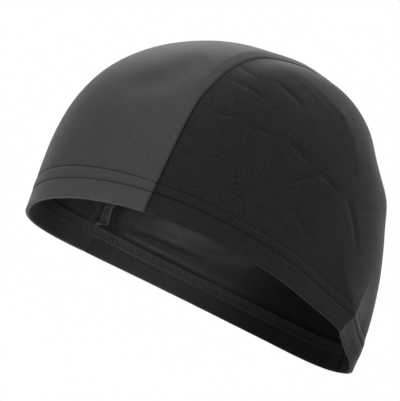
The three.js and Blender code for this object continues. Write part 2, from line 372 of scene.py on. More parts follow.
def seam_on_dome(offset, count=720):
    """The left seam on the dome, as places along rays that fan out from a side panel's hem."""
    ray = np.linspace(0, math.pi, count)

    def place(share):
        return SEAM_MIDDLE - share * SEAM_SPREAD * np.cos(ray), share * QUARTER_TURN * np.sin(ray)

    share = bisect(lambda s: seam_side(dome(*place(s))) < offset, np.zeros(count), np.ones(count))
    return place(share)


def seam_ends(height, offset):
    """Where the left seam crosses a height above the edge, beside the temple and at the nape."""
    def end(way):
        def inside(share):
            around = SEAM_MIDDLE + way * share * SEAM_SPREAD
            return seam_side(dome(around, rise_at(around, height))) < offset

        share = bisect(inside, np.zeros(np.shape(height)), np.ones(np.shape(height)))
        return SEAM_MIDDLE + way * share * SEAM_SPREAD

    return end(-1), end(1)


def lengths_along(points):
    """How far along a line of points each of them lies"""
    return np.concatenate([[0], np.cumsum(np.linalg.norm(np.diff(points, axis=0), axis=1))])


def spaced(places, count):
    """Spreads places on the dome evenly along their line."""
    around, rise = places
    length = lengths_along(dome(around, rise))
    at = np.linspace(0, length[-1], count)
    return np.interp(at, length, around), np.interp(at, length, rise)


def seam_above_hem(offset, height, count):
    """The left seam from a height above the edge at the temple, over the crown, to the nape."""
    around, rise = seam_on_dome(offset)
    above = rise > rise_at(around, height)
    first, last = seam_ends(np.array(float(height)), offset)
    around = np.concatenate([[first], around[above], [last]])
    rise = np.concatenate([[rise_at(first, height)], rise[above], [rise_at(last, height)]])
    return spaced((around, rise), count)


def build_seam_tree():
    tree = KDTree(2 * SEAM_TREE_POINTS)
    for side in (1, -1):
        around, rise = spaced(seam_on_dome(0.0), SEAM_TREE_POINTS)
        for index, point in enumerate(dome(side * around, rise)):
            tree.insert(Vector(point), index)
    tree.balance()
    return tree


SEAM_TREE = build_seam_tree()


def seam_distance(smooth):
    """How far points of the smooth dome lie from the nearer seam."""
    flat = smooth.reshape(-1, 3)
    return np.array([SEAM_TREE.find(point)[2] for point in flat.tolist()]).reshape(smooth.shape[:-1])


def dent_depth(around, rise):
    depth = 0
    for dent in DENTS:
        middle = math.radians(dent["around"])
        away = np.arctan2(np.sin(around - middle), np.cos(around - middle))
        wide = away / math.radians(dent["wide"])
        tall = (rise - math.radians(dent["rise"])) / math.radians(dent["tall"])
        depth = depth + dent["depth"] * DENT_UNIT * np.exp(-wide * wide - tall * tall)
    return depth


def crease_line(crease, count=40):
    """A crease as points on the smooth dome, in a soft curve through its places."""
    way = np.radians(np.array(crease["way"], float))
    at = np.linspace(0, len(way) - 1, count)
    line = np.stack([np.interp(at, range(len(way)), way[:, i]) for i in range(2)], -1)
    for _ in range(6):
        line[1:-1] = (line[:-2] + 2 * line[1:-1] + line[2:]) / 4
    return dome(line[:, 0], line[:, 1])


def along_line(points, line):
    """How far points lie from a line, and where along it, as a share, its nearest place is."""
    away = np.linalg.norm(points[:, None] - line[None], axis=2)
    nearest = away.argmin(1)
    best, share = away[np.arange(len(points)), nearest], nearest.astype(float)
    for step in (-1, 0):
        start = np.clip(nearest + step, 0, len(line) - 2)
        run = line[start + 1] - line[start]
        part = np.clip(((points - line[start]) * run).sum(1) / (run * run).sum(1), 0, 1)
        gap = np.linalg.norm(points - line[start] - part[:, None] * run, axis=1)
        share = np.where(gap < best, start + part, share)
        best = np.minimum(best, gap)
    return best, share / (len(line) - 1)


def depth_along(rows, smooth, widths, profile):
    """Adds up the rows' depths over the cloth that lies near their lines. profile is the share of
    the depth at a distance in widths from the line and at a share of its length."""
    flat = smooth.reshape(-1, 3)
    depth = np.zeros(len(flat))
    for row in rows:
        line = crease_line(row)
        middle = line.mean(0)
        reach = np.linalg.norm(line - middle, axis=1).max() + widths * row["width"]
        near = np.nonzero(np.linalg.norm(flat - middle, axis=1) < reach)[0]
        if not len(near):
            continue
        away, share = along_line(flat[near], line)
        depth[near] += row["depth"] * profile(away / row["width"], np.clip(share, 0, 1))
    return depth.reshape(smooth.shape[:-1])


def crease_profile(away, share):
    """A soft valley that fades out toward both ends"""
    return np.sin(math.pi * share) ** 0.7 * np.exp(-(away**2))


def ridge_profile(away, share):
    """A peak with straight cloth beside it, which fades toward the last end"""
    return np.cos(QUARTER_TURN * share) ** 0.8 * np.exp(-away)


def edge_pull(around, height):
    """How far in the hem's edge is pulled, which fades out upward"""
    degrees = np.degrees(np.arctan2(np.sin(around), np.cos(around)))
    pull = np.interp(degrees, EDGE_PULLS["around"], EDGE_PULLS["pull"], left=0, right=0)
    tall = np.interp(degrees, EDGE_PULLS["around"], EDGE_PULLS["tall"])
    return pull * np.exp(-((height / tall) ** 2))


def slack(smooth):
    """The cloth's slight unevenness over the whole cap."""
    x, y, z = smooth[..., 0], smooth[..., 1], smooth[..., 2]
    broad = np.sin(y / 13 + z / 31 + 1.3) * np.sin(z / 17 - x / 23 + 0.4)
    fine = np.sin(y / 6.1 - z / 8.3) * np.sin(z / 7.2 + x / 9.1 + 2.0)
    return BROAD_SLACK * broad + FINE_SLACK * fine


def seam_offset(height, layer):
    """Half the gap between the panels. It opens on the right side above the hem, and the wrong
    sides press into each other there, so that no light comes through the seam."""
    gap = SEAM_GAP if layer == "right" else -SEWN_SEAM_LAP
    return np.interp(height, (HEM_DEPTH, HEM_ZONE), (HEM_SEAM_GAP / 2, gap / 2))


def normal_at(around, height):
    return dome_normal(around, rise_at(around, height))


def height_above_edge(around, rise):
    return (CROWN_HEIGHT - edge(around)[2]) * np.sin(np.maximum(rise, 0)) ** HEIGHT_GROWTH


def upper_row(around):
    """The height of the upper needle row"""
    return SIDE_UPPER_ROW + (FRONT_UPPER_ROW - SIDE_UPPER_ROW) * np.maximum(np.cos(around), 0) ** 2


def move_row(height, start, end):
    """Stretches the hem's heights so that the upper needle row goes from one height to another."""
    low = NEEDLE_ROWS[0]
    between = low + (height - low) * (end - low) / (start - low)
    above = end + (height - start) * (HEM_ZONE - end) / (HEM_ZONE - start)
    in_hem = np.where(height < low, height, np.where(height < start, between, above))
    return np.where(height < HEM_ZONE, in_hem, height)


def settled(around, height):
    """Moves a nominal height in the hem to where it settles, with the upper needle row."""
    return move_row(height, NEEDLE_ROWS[1], upper_row(around))


def nominal(around, height):
    """The nominal height of a settled one"""
    return move_row(height, upper_row(around), NEEDLE_ROWS[1])


def hem_relief(height):
    """The hem is puffed between its needle rows and dips where it ends."""
    middle = sum(NEEDLE_ROWS) / 2
    puff = ((height - middle) / (middle - NEEDLE_ROWS[0]) * HEM_PUFF_SHARPNESS) ** 2
    dip = ((height - HEM_DEPTH - HEM_TOP_DIP_ABOVE) / HEM_TOP_DIP_SPREAD) ** 2
    return HEM_TOP_DIP * np.exp(-dip) - HEM_PUFF * np.exp(-puff)


def needle_groove(height):
    return sum(
        NEEDLE_GROOVE * np.exp(-(((height - row) / NEEDLE_GROOVE_SPREAD) ** 2)) for row in NEEDLE_ROWS
    )


def cloth(around, rise, depth, groove_way=0.0):
    """A point of the worn cloth. depth is measured inward from its outside, and groove_way is
    1 where the seam and needle grooves go inward, -1 where they go outward and 0 for none."""
    smooth = dome(around, rise)
    settled_height = height_above_edge(around, rise)
    height = nominal(around, settled_height)
    off = seam_distance(smooth)
    first, last = np.radians(SEAM_ROLL_STARTS_DEG)
    climb = np.clip((rise - first) / (last - first), 0, 1)
    roll = SEAM_TUCK + SEAM_ROLL * climb * climb * (3 - 2 * climb)
    on_strip = np.clip(1 - off / STRIP_ROLL_WIDTH, 0, 1)
    on_side = np.exp(-((off / SIDE_ROLL_SPREAD) ** 2))
    tuck = roll * np.where(seam_side(smooth) > 0, on_strip, on_side)
    groove = SEAM_GROOVE * np.exp(-((off / SEAM_GROOVE_SPREAD) ** 2))
    groove = groove + np.where(groove_way > 0, needle_groove(height), 0)
    inward = depth + tuck + groove_way * groove + hem_relief(height)
    inward = inward + dent_depth(around, rise) + depth_along(CREASES, smooth, 4, crease_profile)
    inward = inward + depth_along(RIDGES, smooth, 6, ridge_profile) + slack(smooth)
    inward = inward + edge_pull(around, settled_height)
    return smooth - dome_normal(around, rise) * inward[..., None]


def cloth_at(around, height, depth, groove_way=0.0):
    return cloth(around, rise_at(around, settled(around, height)), depth, groove_way)


TILT = math.radians(WORN_TILT_DEG)


def to_frame(points):
    """Tilts points of the upright frame as the cap is worn, and turns them into metres."""
    x, y, z = points[..., 0], points[..., 1], points[..., 2]
    along = y * math.cos(TILT) + z * math.sin(TILT)
    height = z * math.cos(TILT) - y * math.sin(TILT)
    return np.stack([x, along, height], -1) * MM


# The cloth's rows and columns
def close_to_ends(count, keep):
    """Shares from 0 to 1 whose steps shrink to a part, keep, of the even step at both ends."""
    even = np.linspace(0, 1, count)
    return even - (1 - keep) * np.sin(2 * math.pi * even) / (2 * math.pi)


def close_to_last(count, keep):
    even = np.linspace(0, 1, count)
    return (2 - keep) * even - (1 - keep) * even**2


def hem_rows():
    """Rows from the free edge of the turned-up ply, round the fold, up to the top of the hem zone.
    Each row has the height and the depth of its right and its wrong side."""
    ply = 2 * FOLD_RADIUS
    rows = [
        {"right": (height, ply), "wrong": (height, CLOTH + HEM_PLY_GAP), "way": -1.0}
        for height in np.linspace(HEM_DEPTH, FOLD_RADIUS, PLY_ROWS)
    ]
    inner = HEM_PLY_GAP / 2
    for degrees in FOLD_TURNS_DEG:
        sine, cosine = math.sin(math.radians(degrees)), math.cos(math.radians(degrees))
        rows.append({
            "right": (FOLD_RADIUS * (1 - sine), FOLD_RADIUS * (1 - cosine)),
            "wrong": (FOLD_RADIUS - inner * sine, FOLD_RADIUS - inner * cosine),
            "way": cosine,
        })
    close = [row + step for row in NEEDLE_ROWS for step in NEEDLE_GROOVE_STEPS]
    far = [
        height for height in np.linspace(FOLD_RADIUS, HEM_ZONE, PLAIN_HEM_ROWS)
        if min(abs(height - row) for row in NEEDLE_ROWS) > NEEDLE_ROW_CLOSE
    ]
    rows += [{"right": (h, 0.0), "wrong": (h, CLOTH), "way": 1.0} for h in sorted(close + far)]
    return rows


def hem_layer(rows, layer, ends, shares):
    """around, rise, depth and way of one layer of the hem between two seams."""
    height = np.array([row[layer][0] for row in rows])
    depth = np.array([row[layer][1] for row in rows])
    way = np.array([row["way"] for row in rows])
    first, last = ends(height)
    around = first[:, None] + shares[None] * (last - first)[:, None]
    size = np.ones(len(shares))
    rise = rise_at(around, settled(around, height[:, None] * size))
    return around, rise, depth[:, None] * size, way[:, None] * size


def wall_layer(around, rise, layer):
    depth = np.full(around.shape, 0.0 if layer == "right" else CLOTH)
    return around, rise, depth, np.ones(around.shape)


def stack_layers(*parts):
    return tuple(np.vstack(arrays) for arrays in zip(*parts))


def side_panel_layers(side):
    """The left or right panel's two layers, from the ply's free edge up to the seam."""
    rows = hem_rows()
    up = close_to_last(SIDE_ROWS, keep=0.3)[1:, None, None]
    layers = {}
    for layer in ("right", "wrong"):
        offset = -seam_offset(HEM_ZONE, layer)
        first, last = (float(end) for end in seam_ends(np.array(HEM_ZONE), offset))
        hem_line = np.linspace(first, last, HEM_LINE_POINTS)
        even = spaced((hem_line, rise_at(hem_line, HEM_ZONE)), SIDE_COLUMNS)[0]
        shares = (even - first) / (last - first)
        hem_way = direction_of(even, rise_at(even, HEM_ZONE))
        seam_way = direction_of(*seam_above_hem(offset, HEM_ZONE, SIDE_COLUMNS))
        around, rise = dome_in_direction(unit((1 - up) * hem_way + up * seam_way))
        around[:, 0], around[:, -1] = first, last
        rise[:, 0], rise[:, -1] = rise_at(first, HEM_ZONE), rise_at(last, HEM_ZONE)
        hem = hem_layer(rows, layer, lambda height: seam_ends(height, -seam_offset(height, layer)), shares)
        whole = stack_layers(hem, wall_layer(around, rise, layer))
        layers[layer] = (side * whole[0], *whole[1:])
    return layers, len(rows) - 1


def centre_panel_layers():
    """The centre panel's two layers, from the hem over the forehead to the hem at the nape."""
    rows = hem_rows()
    across = close_to_ends(CENTRE_COLUMNS, keep=0.25)
    return {layer: centre_panel_layer(rows, across, layer) for layer in ("right", "wrong")}


def centre_panel_layer(rows, across, layer):
    def front_ends(height):
        temple = seam_ends(height, seam_offset(height, layer))[0]
        return -temple, temple

    def back_ends(height):
        nape = seam_ends(height, seam_offset(height, layer))[1]
        return -nape, nape - 2 * math.pi

    def hem_way(ends):
        first, last = (float(end) for end in ends(np.array(HEM_ZONE)))
        around = first + across * (last - first)
        return direction_of(around, rise_at(around, HEM_ZONE))

    front, back = hem_way(front_ends), hem_way(back_ends)
    seam_around, seam_rise = seam_above_hem(seam_offset(HEM_ZONE, layer), HEM_ZONE, CENTRE_ROWS)
    right = direction_of(-seam_around, seam_rise)[:, None]
    left = direction_of(seam_around, seam_rise)[:, None]
    u, v = across[None, :, None], np.linspace(0, 1, CENTRE_ROWS)[:, None, None]

    def bow(line):
        return line - (1 - u[0]) * line[0] - u[0] * line[-1]

    way = (1 - u) * right + u * left + (1 - v) * bow(front) + v * bow(back)
    around, rise = dome_in_direction(unit(way[1:-1]))
    fore = hem_layer(rows, layer, front_ends, across)
    aft = hem_layer(rows, layer, back_ends, across)
    aft = tuple(array[::-1] for array in aft)
    return stack_layers(fore, wall_layer(around, rise, layer), aft)


# Meshes
def linked(name, data):
    """An object of the scene with this mesh, light or camera"""
    obj = bpy.data.objects.new(name, data)
    bpy.context.scene.collection.objects.link(obj)
    return obj


def new_object(name, points, faces, material, slot):
    mesh = bpy.data.meshes.new(name)
    mesh.from_pydata(to_frame(np.asarray(points)).tolist(), [], faces)
    mesh.validate()
    obj = linked(name, mesh)
    mesh.materials.append(material)
    mesh.shade_smooth()
    mesh.set_sharp_from_angle(angle=math.radians(SHARP_EDGE_DEG))
    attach(obj, "root")
    return obj


def closed_sheet(name, layers, pin_row, flip, flat_map, material, slot):
    """Gives a panel its right side, its wrong side and its cut edges. Above pin_row the first and
    last columns are one corner each."""
    right = cloth(*layers["right"])
    wrong = cloth(*layers["wrong"][:3])
    rows, columns = right.shape[:2]
    number = np.arange(rows * columns).reshape(rows, columns)
    if pin_row is not None:
        number[pin_row:, 0] = number[pin_row, 0]
        number[pin_row:, -1] = number[pin_row, -1]
    rings = np.stack([number[:-1, :-1], number[:-1, 1:], number[1:, 1:], number[1:, :-1]], -1)
    rings = rings.reshape(-1, 4)
    if flip:
        rings = rings[:, ::-1]
    faces = []
    for ring in rings.tolist():
        face = [v for i, v in enumerate(ring) if v != ring[i - 1]]
        if len(face) > 2:
            faces.append(face)
    edges = {}
    for face in faces:
        for i, end in enumerate(face):
            start = face[i - 1]
            if (end, start) in edges:
                del edges[(end, start)]
            else:
                edges[(start, end)] = True
    count = rows * columns
    back = [[v + count for v in reversed(face)] for face in faces]
    walls = [[end, start, start + count, end + count] for start, end in edges]
    used = np.unique(np.array([v for face in faces for v in face]))
    renumber = np.full(2 * count, -1)
    renumber[used] = np.arange(len(used))
    renumber[used + count] = np.arange(len(used)) + len(used)
    everything = [[int(renumber[v]) for v in face] for face in faces + back + walls]
    right, wrong = right.reshape(-1, 3)[used], wrong.reshape(-1, 3)[used]
    obj = new_object(name, np.vstack([right, wrong]), everything, material, slot)
    set_flat_map(obj, np.vstack([flat_map(right), flat_map(wrong)]) * MM)
    return obj


def set_flat_map(obj, flat):
    """Lays the knit's grain on the cloth: a map in metres, so that its pitch is the real one."""
    layer = obj.data.uv_layers.new(name="grain")
    corners = np.empty(len(obj.data.loops), dtype=np.int32)
    obj.data.loops.foreach_get("vertex_index", corners)
    layer.data.foreach_set("uv", flat[corners].astype(np.float32).ravel())


def paint_inside_shade(panel):
    """Gives the faces that look into the cap a darker copy of the strip's knit, as painted shade on the
    inside.
    """
    panel.data.materials.append(CHARCOAL_PAINTED_SHADE)
    middle = Vector(to_frame(INNER_POINT))
    for face in panel.data.polygons:
        inward = middle - face.center
        if face.normal.dot(inward) > INSIDE_TURN * inward.length:
            face.material_index = 1


def side_grain(side):
    """Flattens a side panel round its middle, with equal distances from there."""
    around = np.array([math.radians(side * SIDE_MIDDLE_DEG)])
    middle = dome(around, np.array([SIDE_MIDDLE_RISE]))[0] - INNER_POINT
    size = np.linalg.norm(middle)
    forward = middle / size
    level = unit(np.cross((0, 0, 1), forward))
    up = np.cross(forward, level)

    def flat(points):
        way = unit(points - INNER_POINT)
        angle = np.arccos(np.clip(way @ forward, -1, 1))
        aside, above = way @ level, way @ up
        stretch = size * angle / np.maximum(np.hypot(aside, above), 1e-9)
        return np.stack([aside * stretch, above * stretch], -1)

    return flat


def centre_grain(points):
    """Flattens the centre panel along the middle line from the forehead to the nape."""
    way = unit(points - INNER_POINT)
    size = CROWN_HEIGHT - INNER_POINT[2]
    return size * np.stack([np.arcsin(np.clip(way[:, 0], -1, 1)), np.arctan2(way[:, 1], way[:, 2])], -1)


def tubes(paths, ups, radius, sides=6, closed=False):
    """Points and faces of round threads. paths and ups are (threads, points, 3), and radius is one
    number or one for each point along a thread."""
    if closed:
        along = np.roll(paths, -1, 1) - np.roll(paths, 1, 1)
    else:
        along = np.gradient(paths, axis=1)
    along = unit(along)
    aside = unit(np.cross(along, ups))
    above = np.cross(aside, along)
    turn = 2 * math.pi * np.arange(sides) / sides
    thick = np.broadcast_to(radius, paths.shape[1])[None, :, None, None]
    ring = np.cos(turn)[:, None] * aside[:, :, None] + np.sin(turn)[:, None] * above[:, :, None]
    points = paths[:, :, None] + thick * ring
    threads, length = paths.shape[:2]
    number = np.arange(threads * length * sides).reshape(threads, length, sides)
    here = number if closed else number[:, :-1]
    there = np.roll(number, -1, 1) if closed else number[:, 1:]
    quads = np.stack([here, np.roll(here, -1, 2), np.roll(there, -1, 2), there], -1).reshape(-1, 4)
    faces = quads.tolist()
    if not closed:
        faces += number[:, 0, ::-1].tolist() + number[:, -1].tolist()
    return points.reshape(-1, 3), faces


def joined(parts):
    points, faces, count = [], [], 0
    for some_points, some_faces in parts:
        points.append(some_points)
        faces += [[v + count for v in face] for face in some_faces]
        count += len(some_points)
    return np.vstack(points), faces


# Threads of the hem
def ring_places(height, depth):
    """A function from a length along the hem, at a height above the edge, to its place around."""
    around = np.linspace(0, 2 * math.pi, 1441)
    points = dome(around, rise_at(around, height)) - normal_at(around, height) * depth
    length = lengths_along(points)
    return (lambda at: np.interp(np.mod(at, length[-1]), length, around)), length[-1]


def stitch_count():
    return round(ring_places(NEEDLE_ROWS[0], 0)[1] / STITCH_PITCH)


def needle_stitches(height):
    """Short stitches on the outside that dip into the cloth at both ends."""
    place, whole = ring_places(height, 0)
    count = stitch_count()
    shares = np.linspace(-0.5, 0.5, len(STITCH_TAPER))
    starts = (np.arange(count) * whole / count)[:, None]
    around = place(starts + shares[None] * STITCH_LENGTH)
    depth = NEEDLE_GROOVE - STITCH_LIFT + STITCH_DIP * np.abs(2 * shares) ** 4
    paths = cloth_at(around, height, depth)
    return tubes(paths, normal_at(around, height), THREAD_RADIUS * np.array(STITCH_TAPER))


def looper_thread(start, low, high, lift):
    """One thread that runs to and fro between two heights on the inside of the turned-up ply. lift
    is how far it stands off the ply, in its own radii."""
    depth = 2 * FOLD_RADIUS + LOOPER_RADIUS * lift
    place, whole = ring_places((low + high) / 2, depth)
    count = stitch_count()
    step = np.linspace(0, 1, 12, endpoint=False)
    swing = 0.5 - 0.5 * np.cos(2 * math.pi * step) + LOOPER_SLANT * np.sin(4 * math.pi * step)
    lag = step + LOOPER_SWAY * np.sin(2 * math.pi * step)
    at = ((np.arange(count)[:, None] + start + lag[None]) * whole / count).ravel()
    height = np.tile(low + (high - low) * swing, count)
    around = place(at)
    paths = cloth_at(around, height, depth)
    return tubes(paths[None], normal_at(around, height)[None], LOOPER_RADIUS, 6, True)


def chain_loops(height):
    """The row of small loops in which a needle thread holds the looper thread on the inside."""
    depth = 2 * FOLD_RADIUS
    place, whole = ring_places(height, depth)
    count = stitch_count()
    turn = np.linspace(0, 2 * math.pi, 10, endpoint=False)
    at = np.arange(count)[:, None] * whole / count + LOOP_LENGTH / 2 * np.cos(turn)[None]
    around = place(at)
    heights = height + LOOP_WIDTH / 2 * np.sin(turn)[None] + np.zeros(around.shape)
    lift = LOOPER_RADIUS * (LOOP_LIFT + LOOP_LIFT_CHANGE * np.cos(turn))[None] + np.zeros(around.shape)
    paths = cloth_at(around, heights, depth + lift)
    return tubes(paths, normal_at(around, heights), LOOPER_RADIUS, 5, True)


def seam_thread_and_shade(side):
    """The seam's needle thread, down in the gap between two panels. Its black is partly painted shade: a
    dark line that stands for the shade in the seam's ditch.
    """
    around, rise = seam_above_hem(0.0, HEM_ZONE, SEAM_SHADE_THREAD_POINTS)
    around = side * around
    path = cloth(around, rise, SEAM_SHADE_THREAD_DEPTH, 1.0)
    return tubes(path[None], dome_normal(around, rise)[None], SEAM_SHADE_THREAD_RADIUS)


# Overlocked edges of the panels, which stand off the inside along each seam
class Allowance:
    """The strip's own coordinates: along the seam, up from the wall, and aside through its cloth."""

    def __init__(self, side):
        around, rise = seam_above_hem(0.0, ALLOWANCE_STARTS, ALLOWANCE_POINTS)
        around = side * around
        foot = cloth(around, rise, CLOTH + ALLOWANCE_CLEARANCE)
        inward = -dome_normal(around, rise)
        forward = unit(np.gradient(foot, axis=0))
        across = unit(np.cross(inward, forward)) * side
        self.reach = lengths_along(foot)
        self.length = self.reach[-1]
        from_end = np.minimum(self.reach, self.length - self.reach) / ALLOWANCE_END_FADE
        self.free = (1 - np.exp(-(from_end**2)))[:, None]
        curl = np.exp(-((from_end * ALLOWANCE_END_FADE / ALLOWANCE_END_CURL) ** 2))[:, None]
        lean = np.radians(ALLOWANCE_LEAN_DEG + ALLOWANCE_END_LEAN_DEG * curl) * self.free
        self.foot = foot + inward * ALLOWANCE_THICKNESS * np.sin(lean) / 2
        self.stand = inward * np.cos(lean) + across * np.sin(lean)
        self.flat = across * np.cos(lean) - inward * np.sin(lean)

    def at(self, rows, along):
        return np.stack([np.interp(along, self.reach, column) for column in rows.T], -1)

    def point(self, along, up, aside):
        wave = sum(row["size"] * np.sin(2 * math.pi * along / row["length"]) for row in ALLOWANCE_WAVES)
        aside = aside + wave * (up / ALLOWANCE_HEIGHT) ** 2
        up = up * (ALLOWANCE_END_HEIGHT + (1 - ALLOWANCE_END_HEIGHT) * self.at(self.free, along)[..., 0])
        return (
            self.at(self.foot, along)
            + self.at(self.stand, along) * up[..., None]
            + self.at(self.flat, along) * aside[..., None]
        )

    def core(self, stations=260):
        """The two panels' edges, sewn face to face"""
        half = ALLOWANCE_THICKNESS / 2
        section = np.array([
            (0, -half), (0.35, -half), (0.7, -half), (0.95, -0.7 * half), (1, 0),
            (0.95, 0.7 * half), (0.7, half), (0.35, half), (0, half),
        ])
        along = np.linspace(0, self.length, stations)[:, None] * np.ones(len(section))
        up = section[None, :, 0] * ALLOWANCE_HEIGHT * np.ones((stations, 1))
        aside = section[None, :, 1] * np.ones((stations, 1))
        points = self.point(along, up, aside)
        sides = len(section)
        number = np.arange(stations * sides).reshape(stations, sides)
        here, there = number[:-1], number[1:]
        quads = np.stack([here, there, np.roll(there, -1, 1), np.roll(here, -1, 1)], -1).reshape(-1, 4)
        faces = quads.tolist() + [number[0].tolist(), number[-1, ::-1].tolist()]
        return points.reshape(-1, 3), faces

    def wrap(self):
        """The looper thread that binds the edges: over one face, round the edge, down the other"""
        half = ALLOWANCE_THICKNESS / 2 + 0.6 * OVERLOCK_WRAP_RADIUS
        top = ALLOWANCE_HEIGHT + 0.7 * OVERLOCK_WRAP_RADIUS
        turn = np.array([
            (0, NEEDLE_LINE, -0.5 * half), (0.03, NEEDLE_LINE, -half), (0.16, 0.4 * top, -half),
            (0.3, 0.75 * top, -half), (0.42, 0.96 * top, -0.8 * half), (0.5, top, 0),
            (0.58, 0.96 * top, 0.8 * half), (0.7, 0.75 * top, half), (0.84, 0.4 * top, half),
            (0.97, NEEDLE_LINE, half), (1, NEEDLE_LINE, 0.5 * half),
        ])
        return self.thread(turn, OVERLOCK_WRAP_RADIUS)

    def needle_line(self, way):
        """The needle thread that shows as a row of stitches near the strip's foot"""
        half = way * (ALLOWANCE_THICKNESS / 2 + 0.25 * THREAD_RADIUS)
        turn = np.array([
            (0, NEEDLE_LINE, 0.4 * half), (0.12, NEEDLE_LINE, half), (0.5, NEEDLE_LINE, 1.3 * half),
            (0.82, NEEDLE_LINE, half), (0.92, NEEDLE_LINE, 0.4 * half),
        ])
        return self.thread(turn, THREAD_RADIUS)

    def edge_chain(self):
        """The knots of the two looper threads along the strip's edge"""
        top = ALLOWANCE_HEIGHT + 1.1 * OVERLOCK_RADIUS
        turn = np.array([(0, top, -0.3), (0.2, top + 0.1, -0.45), (0.5, top, 0.3), (0.7, top + 0.1, 0.45)])
        return self.thread(turn, OVERLOCK_RADIUS)

    def thread(self, turn, radius):
        """A thread that repeats its turn along the strip. A turn's rows are its places along, as a
        share of the pitch, up from the foot and aside."""
        count = int(self.length / OVERLOCK_PITCH) - 1
        along = ((np.arange(count)[:, None] + turn[None, :, 0]) * OVERLOCK_PITCH).ravel()
        up, aside = np.tile(turn[:, 1], count), np.tile(turn[:, 2], count)
        path = self.point(along, up, aside)
        ups = self.at(self.flat, along)
        return tubes(path[None], ups[None], radius, 6)


# Materials
FUZZ_SHARE = 0.8


def new_material(name, **settings):
    """A material with one shader, and functions that make a node and link two sockets in it"""
    material = bpy.data.materials.new(name)
    material.use_nodes = True
    tree = material.node_tree
    tree.nodes.clear()

    def make(kind, **values):
        node = tree.nodes.new(kind)
        for key, value in values.items():
            if key in node.inputs:
                node.inputs[key].default_value = value
            else:
                setattr(node, key, value)
        return node

    shader = make("ShaderNodeBsdfPrincipled", **settings)
    tree.links.new(shader.outputs["BSDF"], make("ShaderNodeOutputMaterial").inputs["Surface"])
    return material, shader, make, tree.links.new


def tone_ramp(make, grey, places, shades):
    """A ramp from a darker to a lighter shade of a grey"""
    ramp = make("ShaderNodeValToRGB")
    for stop, place, shade in zip(ramp.color_ramp.elements, places, shades):
        stop.position = place
        stop.color = (grey * shade, grey * shade, grey * shade, 1)
    return ramp


def knit_material(name, grey, sheen, mottle):
    """Fine warp knit: narrow ribs along the grain with courses across, and a soft, even colour."""
    material, shader, make, link = new_material(name, **{
        "Sheen Weight": sheen, "Sheen Roughness": 0.3, "Sheen Tint": (1, 1, 1, 1),
        "Specular IOR Level": 0.12, "IOR": 1.45,
    })
    grain = make("ShaderNodeUVMap", uv_map="grain")
    ribs = make("ShaderNodeTexWave", wave_type="BANDS", bands_direction="X", wave_profile="SIN",
                **{"Scale": 700.0, "Distortion": 0.6, "Detail": 1.0, "Detail Scale": 1.5})
    courses = make("ShaderNodeTexWave", wave_type="BANDS", bands_direction="Y", wave_profile="SIN",
                   **{"Scale": 900.0, "Distortion": 0.4, "Detail": 1.0})
    for texture in (ribs, courses):
        link(grain.outputs["UV"], texture.inputs["Vector"])
    knit = make("ShaderNodeMath", operation="MULTIPLY")
    link(ribs.outputs["Fac"], knit.inputs[0])
    link(courses.outputs["Fac"], knit.inputs[1])
    place = make("ShaderNodeTexCoord")
    cloud = make("ShaderNodeTexNoise", **{"Scale": 110.0, "Detail": 5.0, "Roughness": 0.6})
    fuzz = make("ShaderNodeTexNoise", **{"Scale": 900.0, "Detail": 2.0, "Roughness": 0.7})
    link(place.outputs["Object"], cloud.inputs["Vector"])
    link(place.outputs["Object"], fuzz.inputs["Vector"])
    tone = make("ShaderNodeMix", data_type="FLOAT")
    link(cloud.outputs["Fac"], tone.inputs[2])
    link(fuzz.outputs["Fac"], tone.inputs[3])
    tone.inputs[0].default_value = FUZZ_SHARE
    ramp = tone_ramp(make, grey, (0.36, 0.64), (1 - mottle, 1 + mottle))
    link(tone.outputs[0], ramp.inputs["Fac"])
    link(ramp.outputs["Color"], shader.inputs["Base Color"])
    rough = make("ShaderNodeMapRange", **{"To Min": 0.5, "To Max": 0.66})
    link(fuzz.outputs["Fac"], rough.inputs["Value"])
    link(rough.outputs["Result"], shader.inputs["Roughness"])
    height = make("ShaderNodeMath", operation="ADD")
    link(knit.outputs["Value"], height.inputs[0])
    link(fuzz.outputs["Fac"], height.inputs[1])
    bump = make("ShaderNodeBump", **{"Strength": 0.35, "Distance": 0.00012})
    link(height.outputs["Value"], bump.inputs["Height"])
    link(bump.outputs["Normal"], shader.inputs["Normal"])
    return material


def thread_material(name, grey, sheen):
    """Soft spun sewing thread"""
    material, shader, make, link = new_material(name, **{
        "Roughness": 0.65, "Sheen Weight": sheen, "Sheen Roughness": 0.4, "Specular IOR Level": 0.12,
    })
    place = make("ShaderNodeTexCoord")
    fuzz = make("ShaderNodeTexNoise", **{"Scale": 2600.0, "Detail": 3.0, "Roughness": 0.6})
    link(place.outputs["Object"], fuzz.inputs["Vector"])
    ramp = tone_ramp(make, grey, (0.3, 0.75), (0.75, 1.3))
    link(fuzz.outputs["Fac"], ramp.inputs["Fac"])
    link(ramp.outputs["Color"], shader.inputs["Base Color"])
    bump = make("ShaderNodeBump", **{"Strength": 0.4, "Distance": 0.0001})
    link(fuzz.outputs["Fac"], bump.inputs["Height"])
    link(bump.outputs["Normal"], shader.inputs["Normal"])
    return material


CHARCOAL = knit_material("charcoal_knit_cloth", 0.067, 0.08, 0.14)
# A darker copy of the charcoal knit: painted shade for the faces inside the cap
CHARCOAL_PAINTED_SHADE = knit_material("charcoal_knit_painted_shade", 0.027, 0.14, 0.3)
BLACK = knit_material("black_knit_cloth", 0.0172, 0.17, 0.32)
OVERLOCK = thread_material("overlock_thread_grey", 0.06, 0.15)
LOOPER = thread_material("looper_thread_grey", 0.052, 0.08)
NEEDLE = thread_material("needle_thread_black", 0.008, 0.0)


# The camera stands where the photograph was taken from
CAMERA_AZIMUTH_DEG = 70.85
CAMERA_ELEVATION_DEG = -10.61
CAMERA_DISTANCE = 0.7522
CAMERA_LENS = 124.2
VIEW_MIDDLE = Vector((0, 0.0228, 0.0489))
AIM_RIGHT = -0.01977
AIM_UP = 0.0031


